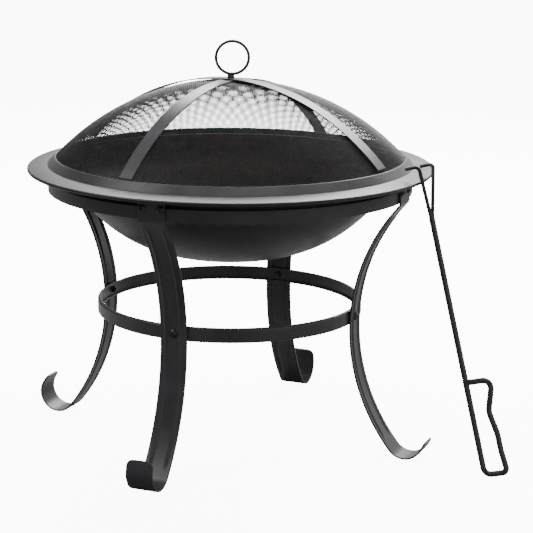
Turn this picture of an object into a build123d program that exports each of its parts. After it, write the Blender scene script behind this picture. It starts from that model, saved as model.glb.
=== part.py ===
from build123d import *
import math
import os

# Round fire pit with a mesh spark screen, a log grate and a hooked poker.
# Millimetres, +Z up. The origin is on the ground, on the axis of the bowl.
# The four legs stand on the X and Y axes: front is -Y and right is +X.

os.makedirs("parts", exist_ok=True)

# ---------------------------------------------------------------- driving dimensions
RIM_DIAMETER = 560.0          # over the rolled rim of the bowl, the 22 inch class
SHEET = 1.2                   # bowl and lid ring sheet
LEG_WIDTH = 38.0
LEG_THICKNESS = 2.5

# bowl
BOWL_BOTTOM = 260.1           # underside of the bowl at the axis
FLANGE_UNDERSIDE = 387.9      # height of the flange where it leaves the wall
WALL_RADIUS = 240.0           # the dish's curve, carried on, would meet the flange here
WALL_POWER = 2.95             # the wall rises as (radius / WALL_RADIUS) ** WALL_POWER
DISH_RADIUS = 208.0           # the dish leaves that curve here and swings out to the neck
NECK_RADIUS = 242.0           # outside of the upright neck, close behind the upper ring
NECK_BOTTOM = 367.0
NECK_BEND = 4.0               # under the flange
FLANGE_FALL = 3.6             # how much lower the flange is at the rim
LIP_RADIUS = 2.5              # rolled wire edge of the rim

# upper ring, four curved bars bolted behind the leg tabs
RING_RADIUS = 251.6           # outer face
RING_THICKNESS = 1.8
RING_BOTTOM = 353.7
RING_TOP = 370.2
EAR_WIDTH = 17.0              # raised end of each bar, behind the tab
RING_GAP = 0.8                # between two bars behind a tab

# legs
TAB_RADIUS = 253.1            # middle of the strip's thickness
CREASE_HEIGHT = 351.9         # where the tab is folded inwards
CREASE_RADIUS = 5.0
CREASE_ANGLE = 41.6           # how far the strip heads inwards below the tab
BOW_RADIUS = 261.0            # the long curve of the leg
SCROLL_RADIUS = 26.5          # the rolled foot
SCROLL_ANGLES = {"front": 156.0, "right": 113.0, "back": 160.0, "left": 170.0}  # rolled by hand
SCROLL_TIP = 12.0
TIP_CORNER = 9.0
RIB_OFFSET = 11.0             # two pressed ribs run down each leg
RIB_WIDTH = 5.0
RIB_HEIGHT = 1.2
RIB_END_ANGLE = 6.0           # the ribs stop this short of both ends of the bow

# brace hoop
HOOP_HEIGHT = 20.0
HOOP_BOTTOM = 179.7
HOOP_THICKNESS = 2.0
HOOP_LIP = 4.6                # its two edges are rolled this far inwards
HOOP_CORNER = 2.8             # outside of the rolled edges
HOOP_SEAM = 0.6
HOOP_SEAM_ANGLE = 153.0

# fasteners
SCREW_HEIGHT = 368.7
SCREW_SPACING = 26.0
SCREW_DIAMETER = 5.0
HOLE_DIAMETER = 5.4
HEAD_DIAMETER = 11.6
HEAD_HEIGHT = 3.4
HEAD_SIDE = 1.0
SCREW_LENGTH = 11.0
NUT_ACROSS_FLATS = 8.0
NUT_HEIGHT = 4.0
THREAD_CLEARANCE = 0.03
RECESS_WIDTH = 1.4
RECESS_LENGTH = 6.0
RECESS_DEPTH = 1.6

# log grate
GRATE_RADIUS = 150.0
GRATE_RING_ROD = 8.0
GRATE_BAR_ROD = 6.0
GRATE_BARS = 9
GRATE_BAR_PITCH = 31.0
GRATE_RUNNER_OFFSET = 70.0
WELD_DEPTH = 0.5
CONTACT_GAP = 0.1             # left between curved faces that are bolted together
SEAT_GAP = 0.3                # between a lift-off part and what it rests on

# spark screen
LID_FOOT_RADIUS = 251.9
LID_SHOULDER_RADIUS = 242.6
LID_RING_HEIGHT = 10.4
LID_BEAD_RADIUS = 1.3
DOME_HEIGHT = 103.0           # from the shoulder to the top of the mesh
MESH_THICKNESS = 1.6
STRAP_WIDTH = 20.5
STRAP_THICKNESS = 1.5
STRAP_ANGLE = -100.9          # direction of the lower strap's first foot
HANDLE_RADIUS = 22.4          # middle of the handle wire
HANDLE_WIRE = 4.2
HANDLE_TURN = -66.9           # the handle ring faces this way
HANDLE_LEAN = 5.0
HANDLE_NUT_FLATS = 9.0
HANDLE_NUT_HEIGHT = 4.0
WASHER_RADIUS = 14.0
WASHER_THICKNESS = 1.2
THREAD_SHORTFALL = 1.0        # the bolt ends this far inside the handle nut
STRAP_LIFT = 0.1              # above the mesh
CROSSING_LIFT = 0.35          # between the straps, whose faces curve in different ways

# poker
POKER_ANGLE = -5.5            # where round the rim it leans
POKER_FOOT_RADIUS = 387.88
POKER_LEAN = 16.1
POKER_SIDE_TILT = 4.1
POKER_ROD = 8.0
POKER_LENGTH = 350.0          # from the floor corner to the end of the thick rod
PRONG_ROD = 5.0
PRONG_TOP = 419.0
PRONG_SPREAD = 24.0
PRONG_KICK = 7.2              # the prongs rise steeper than the rod
PRONG_TIP = 19.0
PRONG_BEND = 6.0
GRIP_HEIGHT = 125.0
GRIP_WIDTH = 33.0             # between the middles of the rod, across the butt
GRIP_HOLLOW = 3.0
GRIP_WAIST = 24.0
GRIP_BULGE = 5.0
GRIP_BENDS = [10.0, 7.0, 30.0, 30.0, 22.0, 10.0]
GRIP_WELD = 3.0
BUTT_DROP = 2.4               # the rounded corner of the butt stands on the ground
WELD_STEP = 0.2               # keeps the weld inside the two rods it joins

# ---------------------------------------------------------------- worked-out values
RIM_RADIUS = RIM_DIAMETER / 2
RING_INNER = RING_RADIUS - RING_THICKNESS
TAB_INNER = TAB_RADIUS - LEG_THICKNESS / 2
TAB_OUTER = TAB_RADIUS + LEG_THICKNESS / 2
LEG_ANGLES = {"front": -90, "right": 0, "back": 90, "left": 180}


def wall_height(radius):
    """Height of the outside of the bowl at a radius."""
    rise = FLANGE_UNDERSIDE - BOWL_BOTTOM
    return BOWL_BOTTOM + rise * (radius / WALL_RADIUS) ** WALL_POWER


def wall_slope(radius):
    """Angle of the bowl wall from level, in radians."""
    rise = FLANGE_UNDERSIDE - BOWL_BOTTOM
    return math.atan(rise * WALL_POWER / WALL_RADIUS * (radius / WALL_RADIUS) ** (WALL_POWER - 1))


def above_wall(radius, distance):
    """The point at a distance square to the outside of the bowl, on its hollow side."""
    slope = wall_slope(radius)
    return (radius - distance * math.sin(slope), wall_height(radius) + distance * math.cos(slope))


def flange_height(radius, lift=0.0):
    """Height of the underside of the flange, which falls gently to the rim."""
    part_way = max(0.0, (radius - WALL_RADIUS) / (RIM_RADIUS - WALL_RADIUS))
    return FLANGE_UNDERSIDE - FLANGE_FALL * part_way ** 2 + lift


def cap_radius(reach, height):
    """Radius of the sphere whose cap has this reach from its axis and this height."""
    return (reach**2 + height**2) / (2 * height)


def upright_plane(angle):
    """Plane through the axis: its x runs outwards at the angle and its y runs up."""
    turn = math.radians(angle)
    return Plane(
        origin=(0, 0, 0),
        x_dir=(math.cos(turn), math.sin(turn), 0),
        z_dir=(math.sin(turn), -math.cos(turn), 0),
    )


def save(piece, name):
    """Label a finished piece and write its file."""
    piece.part.label = name
    export_step(piece.part, f"parts/{name}.step")


# ---------------------------------------------------------------- legs
TAB_TOP = flange_height(TAB_OUTER) - SEAT_GAP
CREASE_RUN = CREASE_RADIUS * math.tan(math.radians(CREASE_ANGLE / 2))
BOLT_HEIGHT = HOOP_BOTTOM + HOOP_HEIGHT / 2
BOW_TOP = CREASE_HEIGHT - CREASE_RUN * math.cos(math.radians(CREASE_ANGLE))
BOW_TOP_RADIUS = TAB_RADIUS - CREASE_RUN * math.sin(math.radians(CREASE_ANGLE))
BOW_WAIST = BOW_TOP - BOW_RADIUS * math.sin(math.radians(CREASE_ANGLE))
WAIST_RADIUS = BOW_TOP_RADIUS - BOW_RADIUS * (1 - math.cos(math.radians(CREASE_ANGLE)))
SPLAY_ANGLE = math.degrees(
    math.asin((BOW_WAIST - SCROLL_RADIUS - LEG_THICKNESS / 2) / (BOW_RADIUS - SCROLL_RADIUS))
)


def leg_edge(shift, scroll_angle):
    """One long edge of the strip, at a distance outwards from its middle, from tab to tip."""
    tab = Line((TAB_RADIUS + shift, TAB_TOP), (TAB_RADIUS + shift, CREASE_HEIGHT + CREASE_RUN))
    crease = JernArc(tab @ 1, tab % 1, CREASE_RADIUS + shift, -CREASE_ANGLE)
    bow = JernArc(crease @ 1, crease % 1, BOW_RADIUS - shift, CREASE_ANGLE + SPLAY_ANGLE)
    scroll = JernArc(bow @ 1, bow % 1, SCROLL_RADIUS - shift, scroll_angle)
    tip = Line(scroll @ 1, scroll @ 1 + SCROLL_TIP * (scroll % 1))
    return tab @ 0, tip @ 1


def rib_edge(shift):
    """One long edge of a rib, along the bow only."""
    trim = math.radians(CREASE_ANGLE - RIB_END_ANGLE)
    centre = (WAIST_RADIUS + BOW_RADIUS, BOW_WAIST)
    radius = BOW_RADIUS - shift
    start = (centre[0] - radius * math.cos(trim), centre[1] + radius * math.sin(trim))
    tangent = (-math.sin(trim), -math.cos(trim))
    sweep_angle = CREASE_ANGLE + SPLAY_ANGLE - 2 * RIB_END_ANGLE
    edge = JernArc(start, tangent, radius, sweep_angle)
    return edge @ 0, edge @ 1


def make_leg(name, angle, scroll_angle):
    """A pressed strip with a bolted tab, a long bow and a rolled foot."""
    plane = upright_plane(angle)
    with BuildPart() as leg:
        with BuildSketch(plane):
            with BuildLine():
                outer_start, outer_end = leg_edge(LEG_THICKNESS / 2, scroll_angle)
                inner_start, inner_end = leg_edge(-LEG_THICKNESS / 2, scroll_angle)
                Line(outer_start, inner_start)
                Line(outer_end, inner_end)
            make_face()
        extrude(amount=LEG_WIDTH / 2, both=True)
        short = leg.edges().filter_by(lambda e: abs(e.length - LEG_THICKNESS) < 0.01)
        corners = short.filter_by(lambda e: e.center().Z < BOLT_HEIGHT)
        fillet(corners, radius=TIP_CORNER)
        for side in (-1, 1):
            with BuildSketch(plane.offset(side * RIB_OFFSET)):
                with BuildLine():
                    high_start, high_end = rib_edge(LEG_THICKNESS / 2 + RIB_HEIGHT)
                    low_start, low_end = rib_edge(LEG_THICKNESS / 2 - WELD_DEPTH)
                    Line(high_start, low_start)
                    Line(high_end, low_end)
                make_face()
            extrude(amount=RIB_WIDTH / 2, both=True)
        hole_plane = Plane(origin=(0, 0, 0), x_dir=-plane.z_dir, z_dir=plane.x_dir)
        with BuildSketch(hole_plane):
            with Locations((0, SCREW_HEIGHT)):
                with GridLocations(SCREW_SPACING, 1, 2, 1):
                    Circle(HOLE_DIAMETER / 2)
            with Locations((0, BOLT_HEIGHT)):
                Circle(HOLE_DIAMETER / 2)
        extrude(amount=RIM_RADIUS, mode=Mode.SUBTRACT)
    save(leg, name)


for side, angle in LEG_ANGLES.items():
    make_leg(f"leg_{side}", angle, SCROLL_ANGLES[side])


# ---------------------------------------------------------------- upper ring bars
def ring_bar(name, start):
    """A quarter of the ring, with a raised ear at each end for the screws."""
    half_gap = math.degrees(RING_GAP / 2 / RING_RADIUS)
    ear_angle = math.degrees(EAR_WIDTH / RING_RADIUS)
    quarter = 90 - 2 * half_gap
    pieces = (
        (start + half_gap, quarter, RING_TOP),
        (start + half_gap, ear_angle, TAB_TOP),
        (start + half_gap + quarter - ear_angle, ear_angle, TAB_TOP),
    )
    with BuildPart() as bar:
        for from_angle, arc, top in pieces:
            with BuildSketch(upright_plane(from_angle)):
                with Locations((RING_INNER + RING_THICKNESS / 2, (RING_BOTTOM + top) / 2)):
                    Rectangle(RING_THICKNESS, top - RING_BOTTOM)
            revolve(axis=Axis.Z, revolution_arc=arc)
        for leg_angle, side in ((start, 1), (start + 90, -1)):
            turn = math.radians(leg_angle)
            outwards = (math.cos(turn), math.sin(turn), 0)
            along = (-math.sin(turn), math.cos(turn), 0)
            with BuildSketch(Plane(origin=(0, 0, 0), x_dir=along, z_dir=outwards)):
                with Locations((side * SCREW_SPACING / 2, SCREW_HEIGHT)):
                    Circle(HOLE_DIAMETER / 2)
            extrude(amount=RIM_RADIUS, mode=Mode.SUBTRACT)
    save(bar, name)


for name, start in (
    ("upper_ring_front_right", -90),
    ("upper_ring_back_right", 0),
    ("upper_ring_back_left", 90),
    ("upper_ring_front_left", 180),
):
    ring_bar(name, start)

# ---------------------------------------------------------------- brace hoop
HOOP_RADIUS = WAIST_RADIUS - LEG_THICKNESS / 2 - CONTACT_GAP
with BuildPart() as brace_hoop:
    with BuildSketch(upright_plane(HOOP_SEAM_ANGLE)) as hoop_section:
        with Locations((HOOP_RADIUS - HOOP_LIP / 2, BOLT_HEIGHT)):
            Rectangle(HOOP_LIP, HOOP_HEIGHT)
        fillet(hoop_section.vertices().sort_by(Axis.X)[-2:], radius=HOOP_CORNER)
        with Locations((HOOP_RADIUS - HOOP_THICKNESS - HOOP_LIP / 2, BOLT_HEIGHT)):
            Rectangle(HOOP_LIP, HOOP_HEIGHT - 2 * HOOP_THICKNESS, mode=Mode.SUBTRACT)
    revolve(axis=Axis.Z, revolution_arc=360 - math.degrees(HOOP_SEAM / HOOP_RADIUS))
    for angle in LEG_ANGLES.values():
        turn = math.radians(angle)
        outwards = (math.cos(turn), math.sin(turn), 0)
        with BuildSketch(Plane(origin=(0, 0, 0), x_dir=(-outwards[1], outwards[0], 0), z_dir=outwards)):
            with Locations((0, BOLT_HEIGHT)):
                Circle(HOLE_DIAMETER / 2)
        extrude(amount=RIM_RADIUS, mode=Mode.SUBTRACT)
save(brace_hoop, "brace_hoop")


# ---------------------------------------------------------------- screws and nuts
def leg_face(height):
    """Radius of the outer face of a leg at a height on its bow."""
    face_radius = BOW_RADIUS - LEG_THICKNESS / 2
    return WAIST_RADIUS + BOW_RADIUS - math.sqrt(face_radius**2 - (height - BOW_WAIST) ** 2)


def fastener_plane(radius, lateral, height):
    """Plane square to the X axis, seen from outside, at a place on the right-hand leg."""
    return Plane(origin=(radius, lateral, height), x_dir=(0, 1, 0), z_dir=(1, 0, 0))


def bolt_outline(length):
    """Half of a pan-head bolt: shank, flat seat, short side and a domed crown."""
    reach = HEAD_DIAMETER / 2
    crown_radius = cap_radius(reach, HEAD_HEIGHT - HEAD_SIDE)
    crown_start = math.degrees(math.acos(reach / crown_radius))
    end = Line((0, -length), (SCREW_DIAMETER / 2, -length))
    shank = Line(end @ 1, (SCREW_DIAMETER / 2, 0))
    seat = Line(shank @ 1, (reach, 0))
    side = Line(seat @ 1, (reach, HEAD_SIDE))
    crown = CenterArc((0, HEAD_HEIGHT - crown_radius), crown_radius, crown_start, 90 - crown_start)
    Line(crown @ 1, end @ 0)


def pan_head_screws(name, face_radius, laterals, height):
    """Pan-head screws with a cross recess, repeated on the four legs."""
    with BuildPart() as one_leg:
        for lateral in laterals:
            plane = fastener_plane(face_radius, lateral, height)
            with BuildSketch(Plane(origin=plane.origin, x_dir=plane.x_dir, z_dir=-Axis.Z.direction)):
                with BuildLine():
                    bolt_outline(SCREW_LENGTH)
                make_face()
            revolve(axis=Axis(plane.origin, plane.z_dir))
            with BuildSketch(plane.offset(HEAD_HEIGHT)):
                Rectangle(RECESS_LENGTH, RECESS_WIDTH)
                Rectangle(RECESS_WIDTH, RECESS_LENGTH)
            extrude(amount=-RECESS_DEPTH, mode=Mode.SUBTRACT)
    with BuildPart() as screws:
        with PolarLocations(0, 4):
            add(one_leg.part)
    save(screws, name)


def hex_nuts(name, face_radius, laterals, height):
    """Hexagon nuts against an inner face, repeated on the four legs."""
    with BuildPart() as one_leg:
        for lateral in laterals:
            with BuildSketch(fastener_plane(face_radius, lateral, height)):
                RegularPolygon(NUT_ACROSS_FLATS / 2, 6, major_radius=False)
                Circle(SCREW_DIAMETER / 2 + THREAD_CLEARANCE, mode=Mode.SUBTRACT)
            extrude(amount=-NUT_HEIGHT)
    with BuildPart() as nuts:
        with PolarLocations(0, 4):
            add(one_leg.part)
    save(nuts, name)


tab_laterals = (-SCREW_SPACING / 2, SCREW_SPACING / 2)
nut_reach = NUT_ACROSS_FLATS / 2 / math.cos(math.radians(30))
ring_seat = math.sqrt(RING_INNER**2 - (SCREW_SPACING / 2 + nut_reach) ** 2)
hoop_seat = math.sqrt((HOOP_RADIUS - HOOP_THICKNESS) ** 2 - nut_reach**2)
bolt_seat = leg_face(BOLT_HEIGHT + HEAD_DIAMETER / 2)
pan_head_screws("tab_screws", TAB_OUTER, tab_laterals, SCREW_HEIGHT)
hex_nuts("tab_nuts", ring_seat, tab_laterals, SCREW_HEIGHT)
pan_head_screws("brace_bolts", bolt_seat, (0,), BOLT_HEIGHT)
hex_nuts("brace_nuts", hoop_seat, (0,), BOLT_HEIGHT)

# ---------------------------------------------------------------- fire bowl
wall_radii = [DISH_RADIUS * step / 7 for step in range(8)]
flange_start = NECK_RADIUS + NECK_BEND
flange_reach = RIM_RADIUS - LIP_RADIUS - flange_start
flange_radii = [flange_start + flange_reach * step / 3 for step in range(4)]
bend_centre = (flange_start, flange_height(flange_start) - NECK_BEND)
dish_end = (math.cos(wall_slope(DISH_RADIUS)), math.sin(wall_slope(DISH_RADIUS)))
lip_centre = (RIM_RADIUS - LIP_RADIUS, flange_height(flange_radii[-1], SHEET) - LIP_RADIUS)


def bowl_face(lift):
    """One face of the bowl's sheet from the axis to the rim, at a distance into the hollow."""
    dish = Spline(*[above_wall(radius, lift) for radius in wall_radii], tangents=((1, 0), dish_end))
    neck_foot = (NECK_RADIUS - lift, NECK_BOTTOM)
    Spline(dish @ 1, neck_foot, tangents=(dish_end, (0, 1)))
    Line(neck_foot, (NECK_RADIUS - lift, bend_centre[1]))
    CenterArc(bend_centre, NECK_BEND + lift, 90, 90)
    flange = Spline(*[(radius, flange_height(radius, lift)) for radius in flange_radii])
    return dish @ 0, flange @ 1


with BuildPart() as fire_bowl:
    with BuildSketch(Plane.XZ):
        with BuildLine():
            outer_middle, outer_rim = bowl_face(0)
            inner_middle, inner_rim = bowl_face(SHEET)
            Line(outer_middle, inner_middle)
            Line(outer_rim, inner_rim)
        make_face()
        with Locations(lip_centre):
            Circle(LIP_RADIUS)
    revolve(axis=Axis.Z)
save(fire_bowl, "fire_bowl")

# ---------------------------------------------------------------- log grate
ring_reach = SHEET + SEAT_GAP + GRATE_RING_ROD / 2
contact_radius = GRATE_RADIUS
for _ in range(20):
    contact_radius += GRATE_RADIUS - above_wall(contact_radius, ring_reach)[0]
GRATE_HEIGHT = above_wall(contact_radius, ring_reach)[1]
BAR_HEIGHT = GRATE_HEIGHT + (GRATE_RING_ROD + GRATE_BAR_ROD) / 2 - WELD_DEPTH
RUNNER_HEIGHT = BAR_HEIGHT - GRATE_BAR_ROD + WELD_DEPTH

with BuildPart() as grate_ring:
    with BuildSketch(Plane.XZ):
        with Locations((GRATE_RADIUS, GRATE_HEIGHT)):
            Circle(GRATE_RING_ROD / 2)
    revolve(axis=Axis.Z)
save(grate_ring, "grate_ring")

with BuildPart() as grate_runners:
    for offset in (-GRATE_RUNNER_OFFSET, GRATE_RUNNER_OFFSET):
        half_length = math.sqrt(GRATE_RADIUS**2 - offset**2)
        with BuildSketch(Plane.XZ.offset(-half_length)):
            with Locations((offset, RUNNER_HEIGHT)):
                Circle(GRATE_BAR_ROD / 2)
        extrude(amount=2 * half_length)
    add(grate_ring.part, mode=Mode.SUBTRACT)
save(grate_runners, "grate_runners")

with BuildPart() as grate_bars:
    for index in range(GRATE_BARS):
        offset = (index - (GRATE_BARS - 1) / 2) * GRATE_BAR_PITCH
        half_length = math.sqrt(GRATE_RADIUS**2 - offset**2)
        with BuildSketch(Plane.YZ.offset(-half_length)):
            with Locations((offset, BAR_HEIGHT)):
                Circle(GRATE_BAR_ROD / 2)
        extrude(amount=2 * half_length)
    add(grate_ring.part, mode=Mode.SUBTRACT)
    add(grate_runners.part, mode=Mode.SUBTRACT)
save(grate_bars, "grate_bars")

# ---------------------------------------------------------------- spark screen
LID_FOOT = flange_height(LID_FOOT_RADIUS, SHEET) + SEAT_GAP
LID_SHOULDER = LID_FOOT + LID_RING_HEIGHT
DOME_TOP = LID_SHOULDER + DOME_HEIGHT
ring_slope = math.atan2(LID_RING_HEIGHT, LID_FOOT_RADIUS - LID_SHOULDER_RADIUS)
ring_inset = SHEET / math.sin(ring_slope)
bead_centre = (LID_SHOULDER_RADIUS - LID_BEAD_RADIUS, LID_SHOULDER - LID_BEAD_RADIUS)
with BuildPart() as lid_ring:
    with BuildSketch(Plane.XZ):
        with BuildLine():
            Polyline(
                (LID_FOOT_RADIUS, LID_FOOT),
                (LID_SHOULDER_RADIUS, LID_SHOULDER - LID_BEAD_RADIUS / 2),
                (LID_SHOULDER_RADIUS - ring_inset, LID_SHOULDER - LID_BEAD_RADIUS / 2),
                (LID_FOOT_RADIUS - ring_inset, LID_FOOT),
                close=True,
            )
        make_face()
        with Locations(bead_centre):
            Circle(LID_BEAD_RADIUS)
    revolve(axis=Axis.Z)
save(lid_ring, "lid_ring")

mesh_reach = LID_SHOULDER_RADIUS - 2 * LID_BEAD_RADIUS - SEAT_GAP
outer_sphere = cap_radius(mesh_reach, DOME_HEIGHT)
sphere_centre = DOME_TOP - outer_sphere


def cap_band(inner_gap, outer_gap, foot_reach):
    """Closed outline of half a domed layer, between two distances from the mesh's outside."""
    points = []
    for gap in (inner_gap, outer_gap):
        radius = outer_sphere + gap
        foot = math.acos(foot_reach / radius)
        edge = JernArc(
            (foot_reach, sphere_centre + radius * math.sin(foot)),
            (-math.sin(foot), math.cos(foot)),
            radius,
            90 - math.degrees(foot),
        )
        points.append((edge @ 0, edge @ 1))
    Line(points[0][0], points[1][0])
    Line(points[0][1], points[1][1])


with BuildPart() as mesh_dome:
    with BuildSketch(Plane.XZ):
        with BuildLine():
            cap_band(-MESH_THICKNESS, 0, mesh_reach)
        make_face()
    revolve(axis=Axis.Z)
    with BuildSketch(Plane.XY.offset(DOME_TOP - 3 * MESH_THICKNESS)):
        Circle(SCREW_DIAMETER / 2 + THREAD_CLEARANCE)
    extrude(amount=6 * MESH_THICKNESS, mode=Mode.SUBTRACT)
save(mesh_dome, "mesh_dome")


def dome_strap(name, angle, gap):
    """A flat strap bent over the dome from shoulder to shoulder."""
    with BuildPart() as strap:
        with BuildSketch(upright_plane(angle)):
            with BuildLine():
                cap_band(gap, gap + STRAP_THICKNESS, mesh_reach + STRAP_LIFT)
            make_face()
            mirror(about=Plane.YZ)
        extrude(amount=STRAP_WIDTH / 2, both=True)
        with BuildSketch(Plane.XY.offset(DOME_TOP - STRAP_THICKNESS)):
            Circle(SCREW_DIAMETER / 2 + THREAD_CLEARANCE)
        extrude(amount=6 * STRAP_THICKNESS, mode=Mode.SUBTRACT)
    save(strap, name)


dome_strap("lower_strap", STRAP_ANGLE, STRAP_LIFT)
dome_strap("upper_strap", STRAP_ANGLE + 90, STRAP_LIFT + STRAP_THICKNESS + CROSSING_LIFT)
STRAP_TOP = DOME_TOP + STRAP_LIFT + 2 * STRAP_THICKNESS + CROSSING_LIFT

# handle: a ring welded on a nut, drawn down by a bolt from inside the dome
washer_drop = WASHER_RADIUS**2 / (2 * outer_sphere)
WASHER_TOP = DOME_TOP - MESH_THICKNESS - washer_drop - CONTACT_GAP
with BuildPart() as handle_nut:
    with BuildSketch(Plane.XY.offset(STRAP_TOP)):
        RegularPolygon(HANDLE_NUT_FLATS / 2, 6, major_radius=False)
        Circle(SCREW_DIAMETER / 2 + THREAD_CLEARANCE, mode=Mode.SUBTRACT)
    extrude(amount=HANDLE_NUT_HEIGHT)
save(handle_nut, "handle_nut")

with BuildPart() as handle_washer:
    with BuildSketch(Plane.XY.offset(WASHER_TOP)):
        Circle(WASHER_RADIUS)
        Circle(SCREW_DIAMETER / 2 + THREAD_CLEARANCE, mode=Mode.SUBTRACT)
    extrude(amount=-WASHER_THICKNESS)
save(handle_washer, "handle_washer")

BOLT_SEAT = WASHER_TOP - WASHER_THICKNESS
BOLT_LENGTH = STRAP_TOP + HANDLE_NUT_HEIGHT - BOLT_SEAT - THREAD_SHORTFALL
with BuildPart() as handle_bolt:
    with BuildSketch(Plane(origin=(0, 0, BOLT_SEAT), x_dir=(1, 0, 0), z_dir=(0, 1, 0))):
        with BuildLine():
            bolt_outline(BOLT_LENGTH)
        make_face()
    revolve(axis=Axis.Z)
save(handle_bolt, "handle_bolt")

HANDLE_CENTRE = STRAP_TOP + HANDLE_NUT_HEIGHT + HANDLE_RADIUS + HANDLE_WIRE / 2 - WELD_DEPTH
with BuildPart() as handle_ring:
    turn = math.radians(HANDLE_TURN)
    lean = math.radians(HANDLE_LEAN)
    facing = (math.cos(turn), math.sin(turn), 0)
    across = (-facing[1] * math.cos(lean), facing[0] * math.cos(lean), -math.sin(lean))
    swing = HANDLE_RADIUS * math.sin(lean)
    centre = (-facing[1] * swing, facing[0] * swing, HANDLE_CENTRE)
    section_side = Vector(*across).cross(Vector(*facing))
    with BuildSketch(Plane(origin=centre, x_dir=across, z_dir=section_side)):
        with Locations(Location((HANDLE_RADIUS, 0, 0), (0, 0, 90))):
            Circle(HANDLE_WIRE / 2)
    revolve(axis=Axis(centre, facing))
    add(handle_nut.part, mode=Mode.SUBTRACT)
save(handle_ring, "handle_ring")

# ---------------------------------------------------------------- poker
turn = math.radians(POKER_ANGLE)
lean = math.radians(POKER_LEAN)
tilt = math.radians(POKER_SIDE_TILT)
outwards = Vector(math.cos(turn), math.sin(turn), 0)
sideways = Vector(-math.sin(turn), math.cos(turn), 0)
upwards = Vector(0, 0, 1)
leaning = upwards * math.cos(lean) - outwards * math.sin(lean)
shaft = (leaning * math.cos(tilt) + sideways * math.sin(tilt)).normalized()
grip_side = (outwards * math.cos(lean) + upwards * math.sin(lean)).normalized()
poker_plane = Plane(
    origin=outwards * POKER_FOOT_RADIUS + upwards * (POKER_ROD / 2 - BUTT_DROP),
    x_dir=grip_side,
    z_dir=grip_side.cross(shaft),
)
grip_path = [
    (0, POKER_LENGTH),
    (0, 0),
    (GRIP_WIDTH, 0),
    (GRIP_WIDTH - GRIP_HOLLOW, GRIP_HEIGHT / 4),
    (GRIP_WIDTH - GRIP_HOLLOW, GRIP_HEIGHT / 2.4),
    (GRIP_WAIST, GRIP_HEIGHT / 1.5),
    (GRIP_WIDTH + GRIP_BULGE, GRIP_HEIGHT),
    (POKER_ROD / 2, GRIP_HEIGHT),
]
with BuildPart() as poker_rod:
    with BuildLine(poker_plane) as rod_line:
        FilletPolyline(*grip_path, radius=GRIP_BENDS)
    start_plane = Plane(origin=rod_line.line @ 0, z_dir=rod_line.line % 0)
    with BuildSketch(start_plane):
        Circle(POKER_ROD / 2)
    sweep(path=rod_line.line)
    weld_middle = poker_plane.from_local_coords((POKER_ROD / 2, GRIP_HEIGHT, 0))
    with BuildSketch(Plane(origin=weld_middle, z_dir=poker_plane.x_dir)):
        Circle(POKER_ROD / 2 - WELD_STEP)
    extrude(amount=GRIP_WELD / 2, both=True)
save(poker_rod, "poker_rod")

with BuildPart() as poker_prongs:
    for side in (-1, 1):
        with BuildLine(poker_plane) as prong_line:
            FilletPolyline(
                (0, POKER_LENGTH - WELD_DEPTH, side * PRONG_ROD / 2),
                (PRONG_KICK, PRONG_TOP, side * PRONG_SPREAD),
                (PRONG_KICK - PRONG_TIP, PRONG_TOP, side * PRONG_SPREAD),
                radius=PRONG_BEND,
            )
        with BuildSketch(Plane(origin=prong_line.line @ 0, z_dir=prong_line.line % 0)):
            Circle(PRONG_ROD / 2)
        sweep(path=prong_line.line)
    add(poker_rod.part, mode=Mode.SUBTRACT)
save(poker_prongs, "poker_prongs")
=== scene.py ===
# %% [markdown]
# # A round fire pit with a mesh spark screen
# The steel parts come in as a fixed frame, in metres, +Z up, with the origin on
# the ground under the middle of the bowl. This lesson gives them their finishes
# and makes the pieces that need finer shapes than solid modelling gives: the
# woven dome and the pressed legs. Everything starts from the loaded frame.

# %% Load the frame
import math

import bpy
import numpy as np
from mathutils import Matrix, Vector


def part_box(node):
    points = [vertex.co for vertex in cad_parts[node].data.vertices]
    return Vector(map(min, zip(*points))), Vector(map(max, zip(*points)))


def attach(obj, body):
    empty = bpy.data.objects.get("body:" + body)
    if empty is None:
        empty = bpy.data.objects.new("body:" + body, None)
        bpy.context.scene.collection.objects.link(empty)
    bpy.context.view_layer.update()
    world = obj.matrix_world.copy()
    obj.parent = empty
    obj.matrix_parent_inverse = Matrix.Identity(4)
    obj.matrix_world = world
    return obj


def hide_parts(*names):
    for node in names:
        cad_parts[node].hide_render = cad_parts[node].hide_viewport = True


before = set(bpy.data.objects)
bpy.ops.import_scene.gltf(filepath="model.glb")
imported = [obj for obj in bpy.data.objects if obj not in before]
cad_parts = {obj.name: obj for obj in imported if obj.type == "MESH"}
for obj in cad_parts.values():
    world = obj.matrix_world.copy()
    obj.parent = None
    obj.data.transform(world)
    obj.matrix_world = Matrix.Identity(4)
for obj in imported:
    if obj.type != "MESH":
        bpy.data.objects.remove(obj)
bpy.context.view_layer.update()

# %% [markdown]
# ## The view
# A long lens stands 2.5 m away and a little above the screen, turned 23 degrees
# from the front leg, so three legs show and the fourth is half hidden. A long
# lens keeps the ellipses of the rim, hoop and screen nearly alike. The camera's
# axes are built from its turn, pitch and roll, which is easier to read than
# Euler angles.

# %% Camera
CAMERA_TURN = math.radians(-66.92)
CAMERA_DISTANCE = 2.546
CAMERA_HEIGHT = 0.8349
CAMERA_PITCH = math.radians(12.15)
CAMERA_ROLL = math.radians(0.34)

ahead = Vector((-math.cos(CAMERA_TURN), -math.sin(CAMERA_TURN), 0))
right = Vector((ahead.y, -ahead.x, 0))
up = Vector((0, 0, 1))
forward = ahead * math.cos(CAMERA_PITCH) - up * math.sin(CAMERA_PITCH)
level_up = ahead * math.sin(CAMERA_PITCH) + up * math.cos(CAMERA_PITCH)
camera_right = right * math.cos(CAMERA_ROLL) + level_up * math.sin(CAMERA_ROLL)
camera_up = level_up * math.cos(CAMERA_ROLL) - right * math.sin(CAMERA_ROLL)

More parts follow.
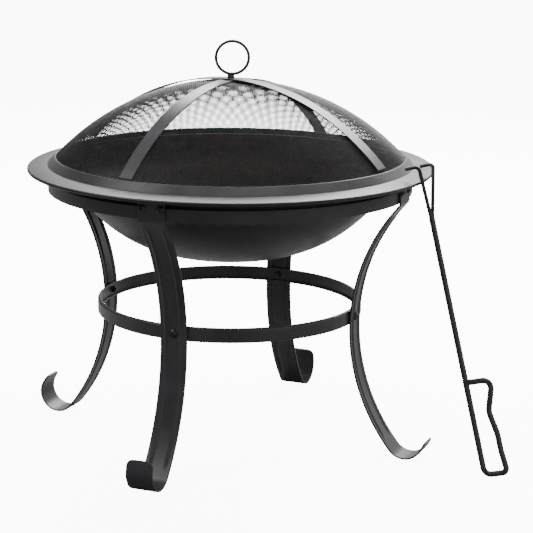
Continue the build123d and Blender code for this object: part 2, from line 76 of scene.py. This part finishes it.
lens = bpy.data.cameras.new("camera")
lens.lens = 126.16
lens.shift_x = 0.0686
lens.shift_y = -0.0605
lens.clip_end = 60
camera = bpy.data.objects.new("camera", lens)
bpy.context.scene.collection.objects.link(camera)
camera.matrix_world = (
    Matrix.Translation(up * CAMERA_HEIGHT - ahead * CAMERA_DISTANCE)
    @ Matrix((camera_right, camera_up, -forward)).transposed().to_4x4()
)
bpy.context.scene.camera = camera
print("camera at", [round(value, 3) for value in camera.location])

# %% [markdown]
# ## Building a finish
# A finish is a tree of nodes that ends in one surface shader. Two short helpers
# keep each finish readable: one opens a new finish, the other adds a node and
# joins its inputs, either to a plain value or to another node's output. Every
# pattern reads Object coordinates, so its scale is in real metres: a noise scale
# of 900 makes grains about a millimetre across. Painted images would need every
# part unwrapped first, and noise needs no unwrapping and never repeats.

# %% Helpers for finishes
def open_finish(name):
    """A new material: gives the material, its node tree and its surface shader."""
    material = bpy.data.materials.new(name)
    material.use_nodes = True
    return material, material.node_tree, material.node_tree.nodes["Principled BSDF"]


def join(tree, socket, value):
    """Feeds a socket from another node's output, or sets it to a plain value."""
    if isinstance(value, bpy.types.NodeSocket):
        tree.links.new(value, socket)
    else:
        socket.default_value = value


def add(tree, kind, inputs, **settings):
    """A new node with its settings made and its inputs joined; gives the node."""
    node = tree.nodes.new(kind)
    for name, value in settings.items():
        setattr(node, name, value)
    for name, value in inputs.items():
        join(tree, node.inputs[name], value)
    return node


# %% [markdown]
# Four patterns come back in nearly every finish: cloudy noise, a stretched value,
# a blend of two colours and a bumpy surface. As short functions they read like
# the recipe of a paint.

# %% Patterns
def grain(tree, place, scale, detail=3.0, roughness=0.55):
    """Cloudy noise between 0 and 1, with this many clouds to the metre."""
    node = add(tree, "ShaderNodeTexNoise", {
        "Vector": place, "Scale": scale, "Detail": detail, "Roughness": roughness})
    return node.outputs["Fac"]


def between(tree, value, low, high, start=0.0, end=1.0):
    """Stretches a value: start becomes low and end becomes high, and no further."""
    node = add(tree, "ShaderNodeMapRange", {
        "Value": value, "From Min": start, "From Max": end, "To Min": low, "To Max": high})
    return node.outputs["Result"]


def blend(tree, share, first, second):
    """A colour that goes from the first to the second as share goes from 0 to 1."""
    node = add(tree, "ShaderNodeMix", {"Factor": share}, data_type="RGBA")
    join(tree, node.inputs[6], first)
    join(tree, node.inputs[7], second)
    return node.outputs[2]


def bumps(tree, height, strength, depth):
    """Tilts the shading as if the surface rose by depth metres where height is 1."""
    node = add(tree, "ShaderNodeBump", {"Height": height, "Strength": strength, "Distance": depth})
    return node.outputs["Normal"]


# %% [markdown]
# ## Powder coat
# The stand, bowl and bands are steel with baked black powder coat. It is not a
# flat black: it has a fine orange-peel skin about a millimetre across, cloudy
# patches where the gloss changes, and a thin grey bloom of dust on faces that
# look up. The gloss patches come from broad noise in the roughness.

# %% Powder coat
def powder_coat(name, dark, light, gloss):
    """Black baked coat: orange-peel bumps, cloudy gloss and dust on upward faces."""
    material, tree, shader = open_finish(name)
    place = add(tree, "ShaderNodeTexCoord", {}).outputs["Object"]
    clouds = grain(tree, place, 16, 4)
    peel = grain(tree, place, 850, 2)
    normal = add(tree, "ShaderNodeNewGeometry", {}).outputs["Normal"]
    rise = add(tree, "ShaderNodeSeparateXYZ", {"Vector": normal}).outputs["Z"]
    upward = between(tree, rise, 0.0, 0.35, 0.5, 1.0)
    settled = between(tree, clouds, 0.4, 0.65, 0.35, 0.7)
    dusty = add(tree, "ShaderNodeMath", {0: upward, 1: settled}, operation="MULTIPLY").outputs[0]
    coat = blend(tree, between(tree, clouds, 0, 1, 0.3, 0.7), dark, light)
    join(tree, shader.inputs["Base Color"], blend(tree, dusty, coat, (0.16, 0.165, 0.17, 1)))
    join(tree, shader.inputs["Roughness"], between(tree, clouds, gloss, gloss + 0.12, 0.3, 0.7))
    join(tree, shader.inputs["Normal"], bumps(tree, peel, 0.25, 0.0002))
    shader.inputs["Specular IOR Level"].default_value = 0.3
    return material


coat = powder_coat("powder_coat", (0.022, 0.022, 0.024, 1), (0.042, 0.0425, 0.046, 1), 0.28)


def finish_nodes(finish, *names):
    """Gives every material slot of these loaded parts one finish."""
    for name in names:
        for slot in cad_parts[name].material_slots:
            slot.material = finish


finish_nodes(coat, "brace_hoop", "lid_ring", "lower_strap", "upper_strap", "handle_nut",
             "handle_ring", "leg_front", "leg_right", "leg_back", "leg_left",
             "upper_ring_front_right", "upper_ring_back_right", "upper_ring_back_left",
             "upper_ring_front_left")
print("coated with", coat.name)

# %% [markdown]
# ## Bowl: coated outside, smoked inside
# The bowl has the same coat, in darker tones outside as painted shade for its
# shaded underside. Fire changes its hollow side: soot lies thick and matt low
# down, and the steel higher up is tinted brown by heat. One finish
# does both. It tells the hollow side from the outside by the way a face looks:
# towards the axis or away from it.

# %% Bowl
def smoked_and_shaded_coat():
    """Powder coat outside, in darker tones as painted shade; inside, soot below and heat-browned steel
    above, by height.
    """
    # The outside tones are darker than the stand's coat: painted shade for the shaded underside of the
    # bowl.
    material = powder_coat("smoked_and_shaded_coat", (0.006, 0.006, 0.0065, 1), (0.013, 0.013, 0.0145, 1), 0.34)
    tree = material.node_tree
    shader = tree.nodes["Principled BSDF"]
    outside = shader.inputs["Base Color"].links[0].from_socket
    shine = shader.inputs["Roughness"].links[0].from_socket
    place = add(tree, "ShaderNodeTexCoord", {}).outputs["Object"]
    height = add(tree, "ShaderNodeSeparateXYZ", {"Vector": place}).outputs["Z"]
    flat_place = add(tree, "ShaderNodeVectorMath", {0: place, 1: (1, 1, 0)}, operation="MULTIPLY")
    outwards = add(tree, "ShaderNodeVectorMath", {0: flat_place.outputs[0]}, operation="NORMALIZE")
    facing = add(tree, "ShaderNodeNewGeometry", {}).outputs["Normal"]
    away = add(tree, "ShaderNodeVectorMath", {
        0: facing, 1: outwards.outputs[0]}, operation="DOT_PRODUCT")
    hollow = between(tree, away.outputs["Value"], 0.0, 1.0, 0.02, -0.02)
    low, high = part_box("fire_bowl")
    flame = grain(tree, place, 22, 5, 0.6)
    wander = between(tree, flame, -0.03, 0.03)
    streak = add(tree, "ShaderNodeMath", {0: height, 1: wander}, operation="ADD").outputs[0]
    baked = between(tree, streak, 0.0, 1.0, low.z + 0.03, high.z - 0.01)
    ash = between(tree, grain(tree, place, 180, 4), 0.0, 0.6, 0.5, 0.75)
    soot = blend(tree, ash, (0.006, 0.006, 0.006, 1), (0.06, 0.055, 0.05, 1))
    tint = between(tree, flame, 0, 1, 0.35, 0.65)
    tinted = blend(tree, tint, (0.035, 0.022, 0.015, 1), (0.02, 0.02, 0.022, 1))
    inside = blend(tree, baked, soot, tinted)
    join(tree, shader.inputs["Base Color"], blend(tree, hollow, outside, inside))
    matt = add(tree, "ShaderNodeMix", {"Factor": hollow, "A": shine, "B": 0.75}).outputs["Result"]
    join(tree, shader.inputs["Roughness"], matt)
    return material


finish_nodes(smoked_and_shaded_coat(), "fire_bowl")

# %% [markdown]
# ## Bare and blackened steel
# Screws, bolts, their nuts and the washer are blackened steel, more metallic than
# the coat round them; only the handle's nut is coated with its ring. The log grate
# is bare steel that has been through fires, so it is scaled dark with orange rust
# where the scale has come off. The poker's coat is blacker than the stand's, and
# the screen's wire is oxidised. Each finish is two tones mixed by cloudy patches,
# so one function makes all four: the tones, the size of the patches, the roughness,
# the metal share and the height of the grain are what differ.

# %% Steel finishes
def steel(name, first, second, scale, rough, metal, depth):
    """Two tones mixed by cloudy patches; a grain nine times finer roughens and lifts them."""
    material, tree, shader = open_finish(name)
    place = add(tree, "ShaderNodeTexCoord", {}).outputs["Object"]
    patches = between(tree, grain(tree, place, scale, 5, 0.6), 0, 1, 0.4, 0.62)
    fine = grain(tree, place, scale * 9, 3)
    join(tree, shader.inputs["Base Color"], blend(tree, patches, first, second))
    join(tree, shader.inputs["Roughness"], between(tree, fine, rough - 0.08, rough + 0.12, 0.3, 0.7))
    shader.inputs["Metallic"].default_value = metal
    join(tree, shader.inputs["Normal"], bumps(tree, fine, 0.3, depth))
    return material


screw_black = steel("screw_black", (0.012, 0.012, 0.013, 1), (0.05, 0.05, 0.052, 1), 260, 0.34, 0.6, 0.0001)
grate_steel = steel("grate_steel", (0.05, 0.042, 0.038, 1), (0.16, 0.06, 0.025, 1), 45, 0.7, 0.3, 0.0003)
poker_coat = steel("poker_steel", (0.008, 0.008, 0.009, 1), (0.016, 0.016, 0.017, 1), 90, 0.32, 0.0, 0.0001)
mesh_wire = steel("mesh_wire", (0.01, 0.01, 0.011, 1), (0.024, 0.023, 0.022, 1), 60, 0.42, 0.2, 0.00005)
finish_nodes(screw_black, "tab_screws", "brace_bolts", "tab_nuts", "brace_nuts", "handle_bolt",
             "handle_washer")
finish_nodes(grate_steel, "grate_ring", "grate_bars", "grate_runners")
finish_nodes(poker_coat, "poker_rod", "poker_prongs")
finish_nodes(mesh_wire, "mesh_dome")
print("steel finishes", [made.name for made in (screw_black, grate_steel, poker_coat, mesh_wire)])

# %% [markdown]
# ## Turning grids of points into pieces
# Every new piece here is a surface worked out as whole numpy arrays: a profile
# carried along a path gives a grid of points, rows along the path and columns
# round the profile. One helper joins neighbouring rows with four-sided faces and
# closes both ends; another puts arrays of points and faces into a mesh.

# %% Helpers for meshes
def piece(name, points, faces, flat_faces, body, finish):
    """A smooth-shaded object at the origin that rides on a body; flat_faces stay flat."""
    mesh = bpy.data.meshes.new(name)
    mesh.from_pydata(points.reshape(-1, 3).tolist(), [], faces.tolist() + flat_faces)
    smooth = np.ones(len(mesh.polygons), dtype=bool)
    smooth[len(faces):] = False
    mesh.polygons.foreach_set("use_smooth", smooth)
    mesh.materials.append(finish)
    made = bpy.data.objects.new(name, mesh)
    bpy.context.scene.collection.objects.link(made)
    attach(made, body)
    print(name, len(mesh.vertices), "points", len(mesh.polygons), "faces")
    return made


def tube_faces(rows, columns):
    """Faces between neighbouring rows of a grid whose columns close on themselves."""
    row, column = np.meshgrid(np.arange(rows - 1), np.arange(columns), indexing="ij")
    beside = (column + 1) % columns
    corners = (row * columns + column, row * columns + beside,
               (row + 1) * columns + beside, (row + 1) * columns + column)
    return np.stack(corners, axis=-1).reshape(-1, 4)


def end_faces(rows, columns):
    """One face over each open end of such a tube, both looking outwards."""
    first = list(range(columns))[::-1]
    last = [(rows - 1) * columns + column for column in range(columns)]
    return [first, last]


# %% [markdown]
# ## Pressed legs
# Each leg is one steel strip 38 mm wide. A press folds the tab, bows the strip,
# rolls the foot and pushes two hollow-backed ribs outwards for stiffness. Bending
# at constant radii means the heading of the strip changes at a steady rate along
# each bend, so the path is the running sum of short steps along an interpolated
# heading. The four feet are not rolled alike, so each has its own angle of curl.

# %% Path of a leg strip
LEG_WIDTH = 0.038
LEG_THICKNESS = 0.0025
TAB_RADIUS = 0.2531
CREASE_HEIGHT = 0.3519
CREASE_RADIUS = 0.005
CREASE_ANGLE = math.radians(41.6)
BOW_RADIUS = 0.261
SCROLL_RADIUS = 0.0265
SCROLL_ANGLES = {"front": 156, "right": 113, "back": 160, "left": 170}
SCROLL_TIP = 0.012
TIP_CORNER = 0.009
LEG_STEP = 0.0008

tab_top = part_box("leg_front")[1].z
crease_run = CREASE_RADIUS * math.tan(CREASE_ANGLE / 2)
bow_top = CREASE_HEIGHT - crease_run * math.cos(CREASE_ANGLE)
waist_height = bow_top - BOW_RADIUS * math.sin(CREASE_ANGLE)
splay = math.asin((waist_height - SCROLL_RADIUS - LEG_THICKNESS / 2) / (BOW_RADIUS - SCROLL_RADIUS))


def leg_path(scroll_angle, step):
    """Even steps from tab to tip: distance, ends of the bends, radius, height and heading."""
    runs = np.array([
        tab_top - CREASE_HEIGHT - crease_run, CREASE_RADIUS * CREASE_ANGLE,
        BOW_RADIUS * (CREASE_ANGLE + splay), SCROLL_RADIUS * scroll_angle, SCROLL_TIP])
    marks = np.concatenate([[0], np.cumsum(runs)])
    curl = splay + scroll_angle
    headings = np.array([0, 0, -CREASE_ANGLE, splay, curl, curl]) - math.pi / 2
    distance = np.linspace(0, marks[-1], int(marks[-1] / step))
    heading = np.interp(distance, marks, headings)
    stride = np.diff(distance)
    middle = np.interp(distance[:-1] + stride / 2, marks, headings)
    radius = TAB_RADIUS + np.concatenate([[0], np.cumsum(stride * np.cos(middle))])
    height = tab_top + np.concatenate([[0], np.cumsum(stride * np.sin(middle))])
    return distance, marks, radius, height, heading


print("splay at the foot", round(math.degrees(splay), 1), "degrees")

# %% [markdown]
# The strip's cross-section is a thin bar with rounded corners whose two faces
# both rise at the ribs, as pressed sheet does. The ribs fade out towards the ends
# of the bow, and the strip narrows to a rounded tip at the foot. Both are factors
# that depend only on the distance along the strip, so they multiply the section's
# height and width.

# %% Section of a leg strip
RIB_OFFSET = 0.011
RIB_HALF_WIDTH = 0.0032
RIB_HEIGHT = 0.0016
RIB_FADE = 0.022
RIB_START = 0.35
EDGE_ROUND = 0.0005
FACE_COLUMNS = 45
CORNER_COLUMNS = 4


def leg_section():
    """A closed loop of points round the bar: a face, two corners, the other face, two corners."""
    face = np.linspace(-1, 1, FACE_COLUMNS)
    corner = np.linspace(0, math.pi / 2, CORNER_COLUMNS)
    flat_half = LEG_WIDTH / 2 - EDGE_ROUND
    flat_rise = LEG_THICKNESS / 2 - EDGE_ROUND
    rim_across = flat_half + EDGE_ROUND * np.cos(corner)
    rim_rise = flat_rise + EDGE_ROUND * np.sin(corner)
    level_face = np.full(FACE_COLUMNS, LEG_THICKNESS / 2)
    across = np.concatenate([face * flat_half, rim_across[::-1], rim_across,
                             -face * flat_half, -rim_across[::-1], -rim_across])
    rise = np.concatenate([level_face, rim_rise[::-1], -rim_rise,
                           -level_face, -rim_rise[::-1], rim_rise])
    keep = np.concatenate([[True], np.hypot(np.diff(across), np.diff(rise)) > 1e-7])
    keep[-1] = False
    return across[keep], rise[keep]


def rib_rise(across):
    """Rise of the ribs across the strip: a squared cosine about the middle of each rib."""
    to_rib = np.clip(np.abs(np.abs(across) - RIB_OFFSET) / RIB_HALF_WIDTH, 0, 1)
    return RIB_HEIGHT * np.cos(to_rib * math.pi / 2) ** 2


def rib_share(distance, marks):
    """How much of the ribs shows: 0 at both ends of the bow, 1 between, smoothed as 3x² - 2x³."""
    from_start = (distance - marks[2]) / RIB_FADE - RIB_START
    to_end = (marks[3] - distance) / RIB_FADE - RIB_START
    fade = np.clip(np.minimum(from_start, to_end), 0, 1)
    return fade * fade * (3 - 2 * fade)


def tip_share(distance, marks):
    """Share of the width left at each step: a quarter circle takes the corners off the tip."""
    from_tip = np.clip(marks[-1] - distance, 0, TIP_CORNER)
    narrowing = TIP_CORNER - np.sqrt(TIP_CORNER**2 - (TIP_CORNER - from_tip) ** 2)
    return 1 - narrowing / (LEG_WIDTH / 2)


print("section points", len(leg_section()[0]))

# %% [markdown]
# A curve with a bevel would carry a section along a path too, but it can't fade
# the ribs or narrow the tip. Here every point of the section goes out along the
# path's normal and sideways along the tangent of the bowl, and a turn about the
# axis puts each leg in its place.

# %% Four legs
def make_leg(side, angle):
    """The section carried square to the path, then turned to the leg's place round the bowl."""
    distance, marks, radius, height, heading = leg_path(math.radians(SCROLL_ANGLES[side]), LEG_STEP)
    across, rise = leg_section()
    outwards = rise[None, :] + rib_rise(across)[None, :] * rib_share(distance, marks)[:, None]
    reach = radius[:, None] - np.sin(heading)[:, None] * outwards
    level = height[:, None] + np.cos(heading)[:, None] * outwards
    sideways = across[None, :] * tip_share(distance, marks)[:, None]
    turn = math.radians(angle)
    points = np.stack([
        reach * math.cos(turn) - sideways * math.sin(turn),
        reach * math.sin(turn) + sideways * math.cos(turn), level], axis=-1)
    rows, columns = level.shape
    leg = piece(f"pressed_leg_{side}", points, tube_faces(rows, columns)[:, ::-1],
                [loop[::-1] for loop in end_faces(rows, columns)], "stand", coat)
    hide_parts(f"leg_{side}")


for side, angle in (("front", -90), ("right", 0), ("back", 90), ("left", 180)):
    make_leg(side, angle)

# %% [markdown]
# ## Woven dome
# The screen is wire cloth pressed over a form: two families of wires cross in
# small diamonds, half as tall again as wide, each wire going over one neighbour
# and under the next. On a flat sheet each family is a set of evenly spaced
# straight lines. Wrapping that sheet over the dome keeps distances from its
# middle, so a point of the sheet goes down the sphere by its distance from the
# middle, in the same direction. A picture of mesh on a smooth dome would look flat
# up close and would not thicken towards the edge, so the wires are real here. They
# are three-sided tubes with one ring at every crossing, which is enough for a wire
# two thirds of a millimetre thick. The cloth runs on into the bead at the top of
# the foot ring, so no cut ends show.

# %% Sheet to dome
CELL_WIDTH = 0.0027
CELL_HEIGHT = 0.0041
WIRE_RADIUS = 0.00033
WEAVE_RISE = 0.0002
LATTICE_TURN = 23.0
UNDERSIDE_DROP = 0.0023
EDGE_TUCK = 0.0024

dome_low, dome_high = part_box("mesh_dome")
dome_reach = dome_high.x
dome_rise = dome_high.z - (dome_low.z + UNDERSIDE_DROP)
sphere_radius = (dome_reach**2 + dome_rise**2) / (2 * dome_rise)
sphere_centre = dome_high.z - sphere_radius
edge_distance = sphere_radius * math.asin((dome_reach + EDGE_TUCK) / sphere_radius)


def on_dome(flat_x, flat_y, lift):
    """A point of the flat sheet wrapped on the sphere: distance from the middle becomes arc length."""
    far = np.maximum(np.hypot(flat_x, flat_y), 1e-9)
    down_turn = far / sphere_radius
    radius = sphere_radius - WIRE_RADIUS - WEAVE_RISE + lift
    reach = radius * np.sin(down_turn)
    return np.stack([reach * flat_x / far, reach * flat_y / far,
                     sphere_centre + radius * np.cos(down_turn)], axis=-1)


print("sphere radius", round(sphere_radius, 4), "cloth radius", round(edge_distance, 4))

# %% [markdown]
# A family of wires is one grid: wires are numbered one way and rings along a wire
# the other. A diamond's side is the step between rings, and each wire's rings are
# shifted so that they fall on the crossings. A ring goes up when its number and
# the wire's number add to an even number, else down, which is what plain weaving
# does; the other family does the opposite.

# %% Flat sheet of one family
def flat_family(lean, first_up):
    """Ring middles on the flat sheet: wire number times spacing across, ring number times side along."""
    side = math.hypot(CELL_WIDTH, CELL_HEIGHT) / 2
    spacing = CELL_WIDTH * CELL_HEIGHT / 2 / side
    slant = math.atan2(CELL_WIDTH, CELL_HEIGHT) * lean
    turn = math.radians(LATTICE_TURN) + slant
    along = np.array([-math.sin(turn), math.cos(turn)])
    beside = np.array([math.cos(turn), math.sin(turn)])
    count = int(edge_distance / spacing) + 1
    line = np.arange(-count, count + 1)
    skew = line * spacing / math.tan(2 * abs(slant)) * lean
    steps = int(edge_distance / side) + count
    ring = np.arange(-steps, steps + 1)
    place = ring[None, :] * side + skew[:, None]
    flat_x = line[:, None] * spacing * beside[0] + place * along[0]
    flat_y = line[:, None] * spacing * beside[1] + place * along[1]
    lift = WEAVE_RISE * np.where((ring[None, :] + line[:, None]) % 2 == 0, 1, -1) * first_up
    return flat_x, flat_y, lift


print("diamond", 1000 * CELL_WIDTH, "by", 1000 * CELL_HEIGHT, "mm")

# %% [markdown]
# Each ring is a triangle square to its wire. The wire's direction runs from the
# ring before to the ring after, up is away from the middle of the sphere, and the
# third direction is their cross product.

# %% Wires of one family
def wire_family(lean, first_up):
    """Each ring's three corners, one wire radius from its middle, and which rings lie inside the edge."""
    flat_x, flat_y, lift = flat_family(lean, first_up)
    middle = on_dome(flat_x, flat_y, lift)
    upward = (middle - np.array([0, 0, sphere_centre])) / sphere_radius
    forward = np.gradient(middle, axis=1)
    forward /= np.linalg.norm(forward, axis=-1, keepdims=True)
    across = np.cross(forward, upward)
    around = np.array([math.pi / 2, math.pi * 7 / 6, math.pi * 11 / 6])
    spoke = (np.cos(around)[:, None] * across[:, :, None, :]
             + np.sin(around)[:, None] * upward[:, :, None, :])
    rings = middle[:, :, None, :] + WIRE_RADIUS * spoke
    inside = np.hypot(flat_x, flat_y) <= edge_distance
    return rings, inside


# %% [markdown]
# The corners of the grid lie outside the round edge. The rings inside get running
# numbers, and two neighbours on one wire that both have a number are joined by
# three walls. Where a wire starts or ends, a triangle closes it. Each family is
# made in two halves, to keep the meshes a handy size.

# %% Cloth
def wire_mesh(rings, inside):
    """Packs the rings inside the edge into points, and joins neighbours on the same wire."""
    number = np.full(inside.shape, -1)
    number[inside] = np.arange(inside.sum())
    joined = inside[:, :-1] & inside[:, 1:]
    here, after = number[:, :-1][joined] * 3, number[:, 1:][joined] * 3
    walls = [np.stack([here + a, here + b, after + b, after + a], axis=-1)
             for a, b in ((0, 1), (1, 2), (2, 0))]
    starts = inside[:, 1:] & ~inside[:, :-1]
    ends = inside[:, :-1] & ~inside[:, 1:]
    first, last = number[:, 1:][starts] * 3, number[:, :-1][ends] * 3
    caps = [[n + 2, n + 1, n] for n in first] + [[n, n + 1, n + 2] for n in last]
    return rings[inside], np.concatenate(walls), caps


cloth = []
for lean in (-1, 1):
    rings, inside = wire_family(lean, lean)
    half = len(rings) // 2
    for part, rows in (("a", slice(None, half)), ("b", slice(half, None))):
        points, faces, caps = wire_mesh(rings[rows], inside[rows])
        name = f"dome_wires_{'left' if lean < 0 else 'right'}_{part}"
        cloth.append(piece(name, points, faces[:, ::-1], [cap[::-1] for cap in caps],
                           "screen", mesh_wire))
for sheet in cloth:
    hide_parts("mesh_dome")

# %% [markdown]
# ## Studio
# Black coat shows its shape only in what it reflects. A floor and walls as bright
# as they look would wash it out, so both are pale to the eye and much dimmer in
# reflections and as light: a light path node tells the two apart.

# %% Floor
FLOOR_REACH = 9.0
floor_mesh = bpy.data.meshes.new("floor")
corners = [(FLOOR_REACH * x, FLOOR_REACH * y, 0) for x, y in ((-1, -1), (1, -1), (1, 1), (-1, 1))]
floor_mesh.from_pydata(corners, [], [(0, 1, 2, 3)])
floor = bpy.data.objects.new("floor", floor_mesh)
bpy.context.scene.collection.objects.link(floor)
material, tree, shader = open_finish("floor")
seen = add(tree, "ShaderNodeLightPath", {}).outputs["Is Camera Ray"]
join(tree, shader.inputs["Base Color"], blend(tree, seen, (0.26, 0.26, 0.26, 1), (0.9, 0.9, 0.9, 1)))
shader.inputs["Emission Color"].default_value = (1, 1, 1, 1)
join(tree, shader.inputs["Emission Strength"], between(tree, seen, 0.0, 10.0))
shader.inputs["Roughness"].default_value = 0.9
floor_mesh.materials.append(material)
print("floor", 2 * FLOOR_REACH, "metres square")

# %% [markdown]
# The surround is dim at the left and brighter at the right, and fades overhead,
# so each band and each leg has a lit side and a dark side.

# %% Surround
BACKDROP_STRENGTH = 24.0
world = bpy.data.worlds.new("surround")
world.use_nodes = True
tree = world.node_tree
direction = add(tree, "ShaderNodeTexCoord", {}).outputs["Generated"]
rise = add(tree, "ShaderNodeSeparateXYZ", {"Vector": direction}).outputs["Z"]
to_right = add(tree, "ShaderNodeVectorMath", {
    0: direction, 1: right}, operation="DOT_PRODUCT").outputs["Value"]
sides = between(tree, to_right, 0.35, 1.4, -0.5, 0.5)
fade = between(tree, rise, 1.0, 0.2, 0.3, 0.75)
wall = add(tree, "ShaderNodeMath", {0: sides, 1: fade}, operation="MULTIPLY").outputs[0]
seen = add(tree, "ShaderNodeLightPath", {}).outputs["Is Camera Ray"]
level = add(tree, "ShaderNodeMix", {
    "Factor": seen, "A": wall, "B": BACKDROP_STRENGTH}).outputs["Result"]
join(tree, tree.nodes["Background"].inputs["Color"], (1, 1, 1, 1))
join(tree, tree.nodes["Background"].inputs["Strength"], level)
bpy.context.scene.world = world
print("surround", world.name)

# %% [markdown]
# Three wide soft lights: one overhead for an even base, one high behind the bowl
# that the flange mirrors as a bright band, and a weaker one beside it at the left
# for the strap on that side.

# %% Soft lights
def soft_light(name, width, height, energy, place, aim):
    """A rectangular soft light at a place, turned to face another."""
    lamp = bpy.data.lights.new(name, "AREA")
    lamp.shape = "RECTANGLE"
    lamp.size, lamp.size_y = width, height
    lamp.energy = energy
    light = bpy.data.objects.new(name, lamp)
    light.location = place
    light.rotation_euler = (Vector(aim) - Vector(place)).to_track_quat("-Z", "Y").to_euler()
    bpy.context.scene.collection.objects.link(light)
    print(name, "light at", [round(value, 2) for value in light.location], energy, "watts")


LIGHT_DISTANCE = 2.6
bowl_middle = Vector((0, 0, 0.4))
overhead = Vector((0.2, 0.3, LIGHT_DISTANCE))
soft_light("overhead", 2.0, 2.0, 34, overhead, bowl_middle)
behind = bowl_middle + LIGHT_DISTANCE * (0.22 * right + 0.76 * ahead + 0.62 * up).normalized()
soft_light("behind", 2.2, 1.0, 170, behind, bowl_middle)
beside = bowl_middle + LIGHT_DISTANCE * (-0.7 * right - 0.25 * ahead + 0.75 * up).normalized()
soft_light("beside", 1.4, 1.0, 40, beside, bowl_middle)
